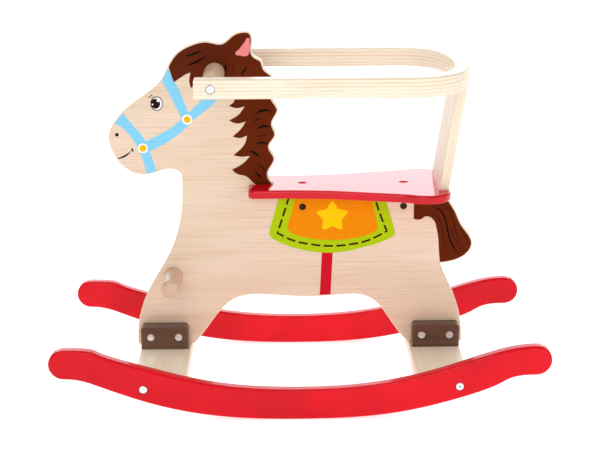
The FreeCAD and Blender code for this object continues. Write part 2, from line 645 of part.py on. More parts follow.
foot_bar = cylinder("footrest_blank", "footrest_diameter", "footrest_length", "0", "0",
                    "0 - footrest_length / 2")
document.recompute()
footrest_dowel = document.addObject("Part::Fillet", "footrest_dowel")
footrest_dowel.Base = foot_bar
rims = [number for number, edge in enumerate(foot_bar.Shape.Edges, start=1) if len(edge.Vertexes) == 1]
footrest_dowel.Edges = [(number, size("footrest_round"), size("footrest_round")) for number in rims]
place(footrest_dowel, "footrest_x", "0", "footrest_z", (1, 0, 0), 90)

# ---------------------------------------------------------------- safety ring


def ring_outline():
    """The ring from above: two straight arms and a D-shaped back, with x from the hand bar's axis."""
    apex = size("post_top_x") + size("ring_back_reach") - size("handle_x")
    half, corner, back = size("ring_outer_width") / 2, size("ring_corner_radius"), size("ring_rear_radius")
    back_x = apex - back
    corner_y = half - corner
    corner_x = back_x + ((back - corner) ** 2 - corner_y ** 2) ** 0.5
    meet = FreeCAD.Vector(corner_x - back_x, corner_y, 0).normalize()
    middle = (meet + FreeCAD.Vector(0, 1, 0)).normalize()
    front = -size("ring_arm_end")
    outline = []
    for inset in (0, size("ring_band")):
        turn, sweep = corner - inset, back - inset
        for side in (-1, 1):
            start = (corner_x, side * (corner_y + turn))
            bend = (corner_x + turn * middle.x, side * (corner_y + turn * middle.y))
            finish = (back_x + sweep * meet.x, side * sweep * meet.y)
            outline.append(straight((front, start[1]), start))
            outline.append(arc(start, bend, finish))
        outline.append(arc((finish[0], -finish[1]), (back_x + sweep, 0), finish))
    for side in (-1, 1):
        outline.append(straight((front, side * half), (front, side * (half - size("ring_band")))))
    return outline


ring_blank = board("safety_ring_blank", "XY_Plane", ring_outline(), "ring_height", "ring_edge_round")
ring_holes = []
for hand, side, inwards in SIDES:
    ring_holes.append(head_hole(f"ring_{hand}_bolt_hole", "ring_band + bolt_gap", x="0",
                                y=f"{side} * ring_outer_width / 2", z="0", **inwards))
for hand, side in post_fixings:
    ring_holes.append(cylinder(f"ring_{hand}_pin_hole", "pin_diameter", "pin_half_length",
                               "post_top_x - handle_x", f"{side} * post_fixing_spacing / 2",
                               "0 - ring_height / 2"))
safety_ring = place(cut("safety_ring", ring_blank, ring_holes), "handle_x", "0", "handle_z")

# ---------------------------------------------------------------- ring post


def post_outline():
    """The post from the side: a leaning board whose foot and top are cut level."""
    height, half = size("post_height"), post_foot / 2
    return closed(((-half, 0), (half, 0), (half + height * lean, height), (height * lean - half, height)))


post_blank = board("ring_post_blank", "XZ_Plane", post_outline(), "post_width", "post_edge_round",
                   keep_sharp=lambda point: point.z < 0.001 or point.z > size("post_height") - 0.001)
post_holes, post_pins, post_screws = [], [], []
for hand, side in post_fixings:
    fixing_y = f"{side} * post_fixing_spacing / 2"
    post_holes.append(cylinder(f"post_{hand}_pin_hole", "pin_diameter", "pin_half_length",
                               "post_top_x - post_x", fixing_y, "post_height - pin_half_length"))
    post_holes.append(cylinder(f"post_{hand}_screw_hole", "screw_diameter", "screw_bite",
                               f"{POST_SCREW_X} - post_x", fixing_y, "0"))
    post_pins.append(cylinder(f"{hand}_post_pin", "pin_diameter", "2 * pin_half_length", "post_top_x",
                              fixing_y, "seat_z + seat_thickness + post_height - pin_half_length"))
    post_screws.append(wood_screw(f"{hand}_post_screw", "seat_thickness", POST_SCREW_X, fixing_y, "seat_z"))
ring_post = place(cut("ring_post", post_blank, post_holes), "post_x", "0", "seat_z + seat_thickness")

# ---------------------------------------------------------------- all sub-parts

sub_parts = [body_panel, seat_board, safety_ring, ring_post, handle_dowel, footrest_dowel]
sub_parts += rockers + cross_boards + leg_blocks
sub_parts += [
    group("rocker_bolts", rocker_bolts),
    group("rocker_barrel_nuts", rocker_nuts),
    group("rocker_pins", rocker_pins),
    group("cross_board_screws", board_screws),
    group("leg_bolts", leg_bolts),
    group("leg_sleeve_nuts", leg_nuts),
    group("seat_bolts", seat_bolts),
    group("seat_barrel_nuts", seat_nuts),
    group("arm_bolts", arm_bolts),
    group("arm_inserts", arm_inserts),
    group("post_pins", post_pins),
    group("post_screws", post_screws),
]
document.recompute()

for item in document.Objects:
    if "Invalid" in item.State or "Error" in item.State:
        raise RuntimeError(f"{item.Name} did not build: {item.State}")
os.makedirs("parts", exist_ok=True)
for item in sub_parts:
    if item.Shape.isNull() or not item.Shape.isValid():
        raise RuntimeError(f"{item.Label} has no valid shape")
for item in sub_parts:
    item.Shape.exportStep(f"parts/{item.Label}.step")
    print(item.Label, len(item.Shape.Solids), round(item.Shape.Volume / 1000, 1), "cm3")
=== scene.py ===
import bpy
import bmesh
import math
from mathutils import Matrix, Vector


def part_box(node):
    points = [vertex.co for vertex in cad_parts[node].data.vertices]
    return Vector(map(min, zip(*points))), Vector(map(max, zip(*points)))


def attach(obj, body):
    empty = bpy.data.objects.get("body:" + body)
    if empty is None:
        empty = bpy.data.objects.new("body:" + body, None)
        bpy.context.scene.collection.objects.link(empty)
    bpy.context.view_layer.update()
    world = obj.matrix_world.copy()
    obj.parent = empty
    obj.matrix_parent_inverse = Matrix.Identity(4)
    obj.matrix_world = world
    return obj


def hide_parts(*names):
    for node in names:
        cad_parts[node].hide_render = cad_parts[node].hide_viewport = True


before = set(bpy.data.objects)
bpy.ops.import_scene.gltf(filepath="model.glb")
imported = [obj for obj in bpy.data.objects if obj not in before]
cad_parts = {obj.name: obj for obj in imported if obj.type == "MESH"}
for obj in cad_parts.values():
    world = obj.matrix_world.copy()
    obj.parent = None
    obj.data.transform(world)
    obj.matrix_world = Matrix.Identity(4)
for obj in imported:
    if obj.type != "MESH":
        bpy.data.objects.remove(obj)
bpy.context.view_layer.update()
MM = 0.001

# ------------------------------------------------------------------ rockers
# Two curved boards sawn from thick plywood, with their long edges rounded over, sanded and sprayed
# with several coats of glossy red lacquer. A bolt and a pin at each cross board hold them.

ROCKER_RED = (226, 0, 26)


def mixed(red, green, blue):
    """A colour mixed on the 0 to 255 scale, as the linear values that a shader takes."""
    parts = [part / 255 for part in (red, green, blue)]
    linear = [part / 12.92 if part <= 0.04045 else ((part + 0.055) / 1.055) ** 2.4 for part in parts]
    return (*linear, 1)


def add(tree, kind, inputs=None, **settings):
    """A new node. Each of its inputs is joined to another node's output, or is given a value."""
    item = tree.nodes.new(kind)
    for name, value in settings.items():
        setattr(item, name, value)
    for socket, value in (inputs or {}).items():
        if isinstance(value, bpy.types.NodeSocket):
            tree.links.new(value, item.inputs[socket])
        else:
            item.inputs[socket].default_value = value
    return item.outputs


def reckon(tree, operation, first, second=0.0):
    return add(tree, "ShaderNodeMath", {0: first, 1: second}, operation=operation)[0]


def between(tree, share, first, second):
    """A colour that goes from the first to the second with the share."""
    return add(tree, "ShaderNodeMix", {0: share, 6: first, 7: second}, data_type="RGBA")[2]


def stretched(tree, place, stretch):
    """The place scaled along each axis, so that what follows has that many features to the metre."""
    return add(tree, "ShaderNodeVectorMath", {0: place, 1: stretch}, operation="MULTIPLY")[0]


def noise(tree, place, detail=2.0, distortion=0.0):
    """Soft noise from 0 to 1, one feature to each unit of the place."""
    settings = {"Vector": place, "Scale": 1.0, "Detail": detail, "Distortion": distortion}
    return add(tree, "ShaderNodeTexNoise", settings)[0]


def eased(tree, value, low, high, out_low=0.0, out_high=1.0):
    """A value eased from one range to another, and held at its ends."""
    settings = {"Value": value, "From Min": low, "From Max": high, "To Min": out_low, "To Max": out_high}
    return add(tree, "ShaderNodeMapRange", settings, interpolation_type="SMOOTHSTEP")[0]


def effect(name, inputs, outputs):
    """An empty shader group with named inputs and outputs, and its two end nodes."""
    tree = bpy.data.node_groups.new(name, "ShaderNodeTree")
    for label, (kind, default) in inputs.items():
        socket = tree.interface.new_socket(label, in_out="INPUT", socket_type=kind)
        if default is not None:
            socket.default_value = default
    for label, kind in outputs.items():
        tree.interface.new_socket(label, in_out="OUTPUT", socket_type=kind)
    given = add(tree, "NodeGroupInput")
    wanted = tree.nodes.new("NodeGroupOutput")
    return tree, given, wanted


def send(tree, wanted, **results):
    """Join results to the group's outputs, by name."""
    for label, value in results.items():
        tree.links.new(value, wanted.inputs[label])


def finish(name, roughness, coat=0.0, coat_roughness=0.03, metallic=0.0):
    """A new material: its tree, its shader and the place on the piece that patterns are read from."""
    material = bpy.data.materials.new(name)
    material.use_nodes = True
    tree = material.node_tree
    shader = tree.nodes["Principled BSDF"]
    shader.inputs["Roughness"].default_value = roughness
    shader.inputs["Metallic"].default_value = metallic
    shader.inputs["Coat Weight"].default_value = coat
    shader.inputs["Coat Roughness"].default_value = coat_roughness
    place = add(tree, "ShaderNodeTexCoord")["Object"]
    return material, tree, shader, place


def use(tree, group, **inputs):
    """A group placed in a material with its own values."""
    item = tree.nodes.new("ShaderNodeGroup")
    item.node_tree = group
    for label, value in inputs.items():
        socket = item.inputs[label.replace("_", " ")]
        if isinstance(value, bpy.types.NodeSocket):
            tree.links.new(value, socket)
        else:
            socket.default_value = value
    return item.outputs


def relief(tree, shader, height, strength, distance=0.0002):
    """Raise the surface by a height pattern."""
    bump = add(tree, "ShaderNodeBump", {"Height": height, "Strength": strength, "Distance": distance})
    tree.links.new(bump[0], shader.inputs["Normal"])


def lacquer_coats():
    """Sprayed lacquer: an uneven depth of colour, a little orange peel, and faint dull handling marks."""
    inputs = {"Place": ("NodeSocketVector", None), "Deep": ("NodeSocketColor", None),
              "Bright": ("NodeSocketColor", None), "Gloss": ("NodeSocketFloat", 0.2)}
    outputs = {"Colour": "NodeSocketColor", "Roughness": "NodeSocketFloat", "Height": "NodeSocketFloat"}
    tree, given, wanted = effect("lacquer_coats", inputs, outputs)
    cloud = noise(tree, stretched(tree, given["Place"], (9, 9, 9)), 3.0)
    peel = noise(tree, stretched(tree, given["Place"], (450, 450, 450)), 1.0)
    marks = noise(tree, stretched(tree, given["Place"], (60, 60, 140)), 4.0)
    dull = eased(tree, marks, 0.5, 0.75, 0.0, 0.06)
    send(tree, wanted, Colour=between(tree, eased(tree, cloud, 0.3, 0.7), given["Deep"], given["Bright"]),
         Roughness=reckon(tree, "ADD", given["Gloss"], dull), Height=peel)
    return tree


LACQUER = lacquer_coats()


def lacquer(name, red, green, blue, gloss, coat, depth=0.9):
    """Lacquer of one colour, whose deeper coats show a little darker."""
    material, tree, shader, place = finish(name, gloss, coat)
    shader.inputs["Specular IOR Level"].default_value = 0.1
    deep = mixed(red * depth, green * depth, blue * depth)
    coats = use(tree, LACQUER, Place=place, Deep=deep, Bright=mixed(red, green, blue), Gloss=gloss)
    tree.links.new(coats["Colour"], shader.inputs["Base Color"])
    tree.links.new(coats["Roughness"], shader.inputs["Roughness"])
    relief(tree, shader, coats["Height"], 0.12)
    return material


def wear(material, *nodes):
    """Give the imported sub-parts this finish, in place of their plain one."""
    for name in nodes:
        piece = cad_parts[name]
        for slot in piece.material_slots:
            slot.material = material


wear(lacquer("rocker_lacquer", *ROCKER_RED, gloss=0.16, coat=0.2), "left_rocker", "right_rocker")

# ------------------------------------------------------------------ cross boards
# Two plywood planks from rocker to rocker, sanded and clear varnished. Their broad faces show straight
# grain along the plank, and their sides show the plies. Pins and barrel nuts hold them by their ends.

BOARD_LIGHT, BOARD_DARK = (252, 240, 218), (238, 218, 186)
BOARD_PLY = 1.6 * MM
CREAM_PLY, TAN_PLY, GLUE_LINE = (246, 234, 216), (226, 200, 158), (178, 138, 92)


def wood_figure():
    """Fine grain along X: broad bands of tone, close dark lines, and short pores between them."""
    inputs = {"Place": ("NodeSocketVector", None), "Light": ("NodeSocketColor", None),
              "Dark": ("NodeSocketColor", None), "Bands": ("NodeSocketFloat", 24.0),
              "Lines": ("NodeSocketFloat", 420.0), "Strength": ("NodeSocketFloat", 0.5)}
    outputs = {"Colour": "NodeSocketColor", "Height": "NodeSocketFloat"}
    tree, given, wanted = effect("wood_figure", inputs, outputs)

    def along_grain(across, share):
        """The place with so many features across the grain, and that share of them along it."""
        scale = add(tree, "ShaderNodeCombineXYZ", {0: reckon(tree, "MULTIPLY", across, share), 1: across,
                                                   2: across})[0]
        return stretched(tree, given["Place"], scale)

    bands = noise(tree, along_grain(given["Bands"], 0.09), 3.0, 0.6)
    lines = noise(tree, along_grain(given["Lines"], 0.02), 3.0, 0.25)
    pores = noise(tree, along_grain(reckon(tree, "MULTIPLY", given["Lines"], 3.0), 0.05), 1.0)
    tone = eased(tree, bands, 0.32, 0.72, 0.0, 0.55)
    tone = reckon(tree, "ADD", tone, eased(tree, lines, 0.42, 0.7, 0.0, 0.6))
    tone = reckon(tree, "ADD", tone, eased(tree, pores, 0.62, 0.8, 0.0, 0.25))
    send(tree, wanted, Colour=between(tree, reckon(tree, "MULTIPLY", tone, given["Strength"]),
                                      given["Light"], given["Dark"]),
         Height=reckon(tree, "SUBTRACT", 1.0, tone))
    return tree


def ply_edge():
    """Plies seen on a sawn edge: pale and tan layers in turn, thin glue lines, and a few dark gaps.
    Level is the place across the sheet, and the layers run along X."""
    inputs = {"Place": ("NodeSocketVector", None), "Level": ("NodeSocketFloat", 0.0),
              "Ply": ("NodeSocketFloat", 0.0016), "Pale": ("NodeSocketColor", None),
              "Tan": ("NodeSocketColor", None), "Glue": ("NodeSocketColor", None)}
    outputs = {"Colour": "NodeSocketColor", "Height": "NodeSocketFloat"}
    tree, given, wanted = effect("ply_edge", inputs, outputs)
    sway = noise(tree, stretched(tree, given["Place"], (14, 14, 14)), 1.0)
    drop = reckon(tree, "MULTIPLY", reckon(tree, "SUBTRACT", sway, 0.5), MM)
    level = reckon(tree, "ADD", given["Level"], drop)
    layer = reckon(tree, "DIVIDE", level, given["Ply"])
    pair = reckon(tree, "FRACT", reckon(tree, "MULTIPLY", layer, 0.5))
    within = reckon(tree, "FRACT", layer)
    tan = eased(tree, reckon(tree, "ABSOLUTE", reckon(tree, "SUBTRACT", pair, 0.5)), 0.2, 0.3, 0.75, 0.0)
    glue = eased(tree, reckon(tree, "ABSOLUTE", reckon(tree, "SUBTRACT", within, 0.5)), 0.4, 0.5)
    drift = noise(tree, stretched(tree, given["Place"], (7, 7, 90)), 3.0)
    streak = noise(tree, stretched(tree, given["Place"], (30, 30, 1500)), 2.0)
    breaks = noise(tree, stretched(tree, given["Place"], (22, 22, 160)), 1.0)
    gap = reckon(tree, "MULTIPLY", glue, eased(tree, breaks, 0.6, 0.72))
    colour = between(tree, reckon(tree, "MULTIPLY", tan, eased(tree, drift, 0.35, 0.65, 0.25, 1.0)),
                     given["Pale"], given["Tan"])
    colour = between(tree, eased(tree, streak, 0.5, 0.75, 0.0, 0.5), colour, given["Tan"])
    line = reckon(tree, "ADD", reckon(tree, "MULTIPLY", glue, 0.22), reckon(tree, "MULTIPLY", gap, 0.6))
    colour = between(tree, line, colour, given["Glue"])
    send(tree, wanted, Colour=colour, Height=reckon(tree, "SUBTRACT", 1.0, glue))
    return tree


FIGURE = wood_figure()
PLIES = ply_edge()


def turned_place(tree, place, centre=(0, 0, 0), turn=(0, 0, 0)):
    """The place measured from a centre, and turned, so that X runs along the grain."""
    settings = {"Vector": place, "Location": centre, "Rotation": [math.radians(angle) for angle in turn]}
    return add(tree, "ShaderNodeMapping", settings, vector_type="TEXTURE")[0]


def plywood(name, light, dark, ply, thickness, across, centre=(0, 0, 0), turn=(0, 0, 0), strength=0.5,
            round_over=1.5 * MM, bands=24.0):
    """Varnished plywood. Across is the axis through the sheet, after the turn that lays the grain on X.
    The faces show figure, and what lies deeper than the round-over shows plies."""
    material, tree, shader, place = finish(name, 0.42, 0.25, 0.25)
    along = turned_place(tree, place, centre, turn)
    level = add(tree, "ShaderNodeSeparateXYZ", {0: along})[across]
    figure = use(tree, FIGURE, Place=along, Light=mixed(*light), Dark=mixed(*dark), Strength=strength,
                 Bands=bands)
    plies = use(tree, PLIES, Place=along, Level=level, Ply=ply, Pale=mixed(*CREAM_PLY), Tan=mixed(*TAN_PLY),
                Glue=mixed(*GLUE_LINE))
    surface = thickness / 2
    face = eased(tree, reckon(tree, "ABSOLUTE", level), surface - round_over, surface - round_over / 4)
    tree.links.new(between(tree, face, plies["Colour"], figure["Colour"]), shader.inputs["Base Color"])
    heights = {0: face, 2: plies["Height"], 3: figure["Height"]}
    relief(tree, shader, add(tree, "ShaderNodeMix", heights, data_type="FLOAT")[0], 0.25, 0.0001)
    return material


board_low, board_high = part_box("front_cross_board")
board_middle = (board_low + board_high) / 2
wear(plywood("board_plywood", BOARD_LIGHT, BOARD_DARK, BOARD_PLY, board_high.z - board_low.z, across=2,
             centre=(0, 0, board_middle.z), turn=(0, 0, 90)), "front_cross_board", "rear_cross_board")

# ------------------------------------------------------------------ leg blocks
# Four hardwood blocks with round upper corners, stained dark brown under a satin varnish. A pair clamps
# each leg from both sides with two long bolts, and screws from below hold it to the cross board.

STAIN_DARK, STAIN_LIGHT = (62, 36, 18), (96, 60, 34)


def stained_wood(name, dark, light):
    material, tree, shader, place = finish(name, 0.38, 0.4, 0.22)
    figure = use(tree, FIGURE, Place=place, Light=mixed(*light), Dark=mixed(*dark), Strength=0.9,
                 Lines=300.0)
    tree.links.new(figure["Colour"], shader.inputs["Base Color"])
    relief(tree, shader, figure["Height"], 0.35, 0.0001)
    return material


wear(stained_wood("leg_block_stain", STAIN_DARK, STAIN_LIGHT), "front_left_leg_block",
     "front_right_leg_block", "rear_left_leg_block", "rear_right_leg_block")

# ------------------------------------------------------------------ body panel
# The horse itself: one piece of pale plywood with its outline cut by router, and every edge of the
# outline rounded over by hand. It stands on the cross boards between the leg blocks.

PANEL_LIGHT, PANEL_DARK = (232, 209, 186), (206, 172, 138)
PANEL_PLY = 1.5 * MM
PANEL_ROUND = 2 * MM
FLAT = 0.01 * MM
PANEL_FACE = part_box("body_panel")[1].y


def piece_from(name, mesh, material):
    """A piece of the horse, fixed to it, with its material and the slot that its finish comes from."""
    piece = bpy.data.objects.new(name, mesh)
    bpy.context.collection.objects.link(piece)
    mesh.materials.clear()
    mesh.materials.append(material)
    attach(piece, "root")
    return piece


def facing_out(shape):
    """Turn the faces of a closed shape outwards."""
    bmesh.ops.recalc_face_normals(shape, faces=shape.faces)
    if shape.calc_volume(signed=True) < 0:
        bmesh.ops.reverse_faces(shape, faces=shape.faces)


def loops_of(edges):
    """The corners of closed loops of edges, each loop in order."""
    waiting, loops = set(edges), []
    while waiting:
        edge = waiting.pop()
        loop = [edge.verts[0], edge.verts[1]]
        while True:
            following = [near for near in loop[-1].link_edges if near in waiting]
            if not following:
                break
            waiting.remove(following[0])
            loop.append(following[0].other_vert(loop[-1]))
        loops.append(loop[:-1])
    return loops


def inward_steps(loop):
    """For each corner of the outline, the step in the panel's plane that moves both its sides in by one."""
    points = [corner.co.xz for corner in loop]
    sides = [(after - before).normalized() for before, after in zip(points, points[1:] + points[:1])]
    turned = sum(before.cross(after) for before, after in zip(points, points[1:] + points[:1]))
    sign = 1 if turned > 0 else -1
    steps = []
    for before, after in zip(sides[-1:] + sides[:-1], sides):
        across = Vector((-before.y - after.y, before.x + after.x)).normalized() * sign
        fit = max(0.5, across.dot(Vector((-after.y, after.x)) * sign))
        steps.append(across / fit)
    return steps


def panel_solid(name, section):
    """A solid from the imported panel's left face. The section runs round its outline from the left face to
    the right one, as pairs of (inset, across), and the drilled holes go straight through."""
    packed = bmesh.new()
    packed.from_mesh(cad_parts["body_panel"].data)
    bmesh.ops.remove_doubles(packed, verts=packed.verts, dist=0.005 * MM)
    bmesh.ops.dissolve_limit(packed, angle_limit=math.radians(0.5), verts=packed.verts, edges=packed.edges)
    packed.normal_update()
    left_face = [face for face in packed.faces
                 if all(corner.co.y < FLAT - PANEL_FACE for corner in face.verts)]
    rims = [edge for face in left_face for edge in face.edges
            if sum(near in left_face for near in edge.link_faces) == 1]
    loops = sorted(loops_of(rims), key=len)
    outline, holes = loops[-1], loops[:-1]
    solid = bmesh.new()
    ends = []
    steps = dict(zip(outline, inward_steps(outline)))
    for inset, across in (section[0], section[-1]):
        corners = {}
        for corner in {corner for face in left_face for corner in face.verts}:
            x, z = corner.co.xz + steps.get(corner, Vector((0, 0))) * inset
            corners[corner] = solid.verts.new((x, across, z))
        for face in left_face:
            solid.faces.new([corners[corner] for corner in face.verts])
        ends.append(corners)
    rows = [[ends[0][corner] for corner in outline]]
    for inset, across in section[1:-1]:
        row = []
        for corner in outline:
            x, z = corner.co.xz + steps[corner] * inset
            row.append(solid.verts.new((x, across, z)))
        rows.append(row)
    rows.append([ends[1][corner] for corner in outline])
    walls = [rows] + [[[end[corner] for corner in hole] for end in ends] for hole in holes]
    for wall in walls:
        for first, second in zip(wall, wall[1:]):
            for place in range(len(first)):
                solid.faces.new((first[place - 1], first[place], second[place], second[place - 1]))
    facing_out(solid)
    mesh = bpy.data.meshes.new(name)
    solid.to_mesh(mesh)
    solid.free()
    packed.free()
    return mesh


ROUND_STEPS = 5
turns = [math.radians(90 * step / ROUND_STEPS) for step in range(ROUND_STEPS + 1)]
left_round = [(PANEL_ROUND * (1 - math.sin(turn)), PANEL_ROUND * (1 - math.cos(turn)) - PANEL_FACE)
              for turn in turns]
right_round = [(inset, -across) for inset, across in reversed(left_round)]


def cut(mesh, tool_mesh, operation):
    """A mesh after a solid cut with a tool."""
    item = bpy.data.objects.new("cut_blank", mesh)
    tool = bpy.data.objects.new("cut_tool", tool_mesh)
    for each in (item, tool):
        bpy.context.collection.objects.link(each)
    trim = item.modifiers.new("trim", "BOOLEAN")
    trim.operation = operation
    trim.solver = "EXACT"
    trim.object = tool
    bpy.context.view_layer.update()
    result = bpy.data.meshes.new_from_object(item.evaluated_get(bpy.context.evaluated_depsgraph_get()))
    for each in (item, tool):
        bpy.data.objects.remove(each)
    return result


SEAT_BOLT_PLACES, SEAT_BOLT_HOLE = (5.5, 147), 3.3
SEAT_BIT_MIDDLE, SEAT_BIT_LENGTH = 272, 26


def seat_bolt_bits():
    """Two upright drill bits that reach from above the panel's back down to its barrel nut holes."""
    bits = bmesh.new()
    for along in SEAT_BOLT_PLACES:
        place = Matrix.Translation((along * MM, 0, SEAT_BIT_MIDDLE * MM))
        bmesh.ops.create_cone(bits, cap_ends=True, segments=40, radius1=SEAT_BOLT_HOLE * MM,
                              radius2=SEAT_BOLT_HOLE * MM, depth=SEAT_BIT_LENGTH * MM, matrix=place)
    mesh = bpy.data.meshes.new("seat_bolt_bits")
    bits.to_mesh(mesh)
    bits.free()
    return mesh


def smoothed(mesh, angle=38):
    """Shade the round stretches smooth and leave the real corners sharp."""
    mesh.shade_smooth()
    mesh.set_sharp_from_angle(angle=math.radians(angle))
    return mesh


panel_blank = panel_solid("rounded_panel", left_round + right_round)
panel_mesh = smoothed(cut(panel_blank, seat_bolt_bits(), "DIFFERENCE"))
panel_wood = plywood("panel_plywood", PANEL_LIGHT, PANEL_DARK, PANEL_PLY, 2 * PANEL_FACE, across=1,
                     strength=0.6, round_over=0.8 * MM)
panel = piece_from("rounded_body_panel", panel_mesh, panel_wood)
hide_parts("body_panel")

# ------------------------------------------------------------------ printing on the panel
# The hair, halter, blanket and face are screen printed on both faces in satin inks, one thin film over
# another. Each film is drawn on the left face, trimmed to the panel's flat, and laid on the right too.

FILM = 0.12 * MM
HAIR = 0.01 * MM
BED = 0.3 * MM
HAIR_BROWN, HAIR_RED_BROWN, HAIR_BLACK = (96, 32, 2), (92, 32, 10), (22, 6, 2)


def ink_film():
    """Ink on varnished wood: an even colour that the grain below dulls a little, with fine speckle."""
    inputs = {"Place": ("NodeSocketVector", None), "Ink": ("NodeSocketColor", None),
              "Thin": ("NodeSocketColor", None)}
    outputs = {"Colour": "NodeSocketColor", "Roughness": "NodeSocketFloat", "Height": "NodeSocketFloat"}
    tree, given, wanted = effect("ink_film", inputs, outputs)
    grain = noise(tree, stretched(tree, given["Place"], (9, 9, 420)), 3.0)
    speckle = noise(tree, stretched(tree, given["Place"], (900, 900, 900)), 1.0)
    faint = eased(tree, grain, 0.5, 0.75, 0.0, 0.35)
    thin = reckon(tree, "ADD", faint, eased(tree, speckle, 0.55, 0.8, 0.0, 0.2))
    send(tree, wanted, Colour=between(tree, thin, given["Ink"], given["Thin"]),
         Roughness=eased(tree, grain, 0.3, 0.7, 0.42, 0.55), Height=grain)
    return tree


INK = ink_film()
MARGIN = 1 * MM
printed_area = panel_solid("printed_area", [(PANEL_ROUND, across)
                                            for across in (-PANEL_FACE - MARGIN, PANEL_FACE + MARGIN)])


def ink(name, red, green, blue, thin=0.86):
    """One printing ink. Where it lies thin, it is a little darker."""
    material, tree, shader, place = finish(name, 0.5)
    shader.inputs["Specular IOR Level"].default_value = 0.05
    faded = mixed(red * thin, green * thin, blue * thin)
    film = use(tree, INK, Place=place, Ink=mixed(red, green, blue), Thin=faded)
    tree.links.new(film["Colour"], shader.inputs["Base Color"])
    tree.links.new(film["Roughness"], shader.inputs["Roughness"])
    relief(tree, shader, film["Height"], 0.15, 0.00005)
    return material


def drawn_shape(name, outline, depth):
    """A flat shape from a closed outline in millimetres, as (along, up). A third value marks a corner."""
    drawing = bpy.data.curves.new(name, "CURVE")
    drawing.dimensions = "2D"
    drawing.fill_mode = "BOTH"
    drawing.extrude = depth / 2
    drawing.resolution_u = 10
    line = drawing.splines.new("BEZIER")
    line.use_cyclic_u = True
    line.bezier_points.add(len(outline) - 1)
    for point, (along, up, *corner) in zip(line.bezier_points, outline):
        point.co = (along * MM, up * MM, 0)
        point.handle_left_type = point.handle_right_type = "VECTOR" if corner else "AUTO"
    item = bpy.data.objects.new(name, drawing)
    bpy.context.collection.objects.link(item)
    bpy.context.view_layer.update()
    mesh = bpy.data.meshes.new_from_object(item)
    bpy.data.objects.remove(item)
    return mesh


def printed(name, outlines, material, layer=1):
    """A film of ink on each face of the panel, in its layer above the wood. Where outlines overlap, each
    lies a hair above the one before."""
    both = bmesh.new()
    for order, outline in enumerate(outlines):
        top = layer * FILM + order * HAIR
        mesh = drawn_shape(name, outline, top + BED)
        middle = -PANEL_FACE - (top - BED) / 2
        mesh.transform(Matrix.Translation((0, middle, 0)) @ Matrix.Rotation(math.pi / 2, 4, "X"))
        blank = bmesh.new()
        blank.from_mesh(mesh)
        bmesh.ops.remove_doubles(blank, verts=blank.verts, dist=0.001 * MM)
        facing_out(blank)
        blank.to_mesh(mesh)
        blank.free()
        both.from_mesh(cut(mesh, printed_area.copy(), "INTERSECT"))
    right = bmesh.ops.duplicate(both, geom=both.verts[:] + both.edges[:] + both.faces[:])["geom"]
    for corner in right:
        if isinstance(corner, bmesh.types.BMVert):
            corner.co.y = -corner.co.y
    bmesh.ops.reverse_faces(both, faces=[face for face in right if isinstance(face, bmesh.types.BMFace)])
    film = bpy.data.meshes.new(name)
    both.to_mesh(film)
    both.free()
    return piece_from(name, film, material)


def strand(width, *points):
    """A brush line through some points, full in its middle and pointed at both ends."""
    first, *inner, last = [Vector(point) for point in points]
    left, right = [], []
    for before, point, after in zip([first] + inner, inner, inner[1:] + [last]):
        run = (after - before).normalized() * width / 2
        left.append((point.x - run.y, point.y + run.x))
        right.insert(0, (point.x + run.y, point.y - run.x))
    return ((*first, 1), *left, (*last, 1), *right)


hair = ink("hair_brown_ink", *HAIR_BROWN)
forelock_ink = ink("forelock_brown_ink", *HAIR_RED_BROWN)
line_ink = ink("hair_line_ink", *HAIR_BLACK, thin=0.5)
soft_line_ink = ink("soft_hair_line_ink", 62, 18, 4)

# The halter: a noseband, a cheek strap, a brow strap and a rear strap that passes under the hair.
HALTER_BLUE, BUTTON_YELLOW, BUTTON_WHITE = (132, 206, 240), (244, 186, 0), (240, 246, 250)
halter = (
    ((-256, 384), (-243, 375.5), (-227, 356), (-217, 334), (-209, 303, 1), (-194, 303, 1), (-201, 327),
     (-211, 356), (-228, 378.5), (-248, 396)),
    ((-216, 352, 1), (-190, 365), (-175, 373.5), (-157, 388, 1), (-147, 380, 1), (-170, 360.5), (-190, 348),
     (-212, 338, 1)),
    ((-191, 448, 1), (-178, 425), (-170, 409), (-158, 381, 1), (-148, 386, 1), (-160, 421), (-167.5, 437),
     (-180, 464, 1)),
    ((-157, 389, 1), (-134, 410), (-118, 430, 1), (-103, 430, 1), (-112, 411), (-130, 395), (-148, 381, 1)),
)
printed("halter_print", halter, ink("halter_blue_ink", *HALTER_BLUE), layer=1)


def round_dot(x, z, radius, height=None):
    """A round or oval spot, from four points on it."""
    tall = height or radius
    return ((x - radius, z), (x, z + tall), (x + radius, z), (x, z - tall))


BUTTONS = ((-214.5, 345), (-152.3, 385))
rims = [round_dot(x, z, 7) for x, z in BUTTONS]
caps = [round_dot(x, z, 4.7) for x, z in BUTTONS]
printed("button_rim_print", rims, ink("button_white_ink", *BUTTON_WHITE), layer=2)
printed("button_print", caps, ink("button_yellow_ink", *BUTTON_YELLOW), layer=3)

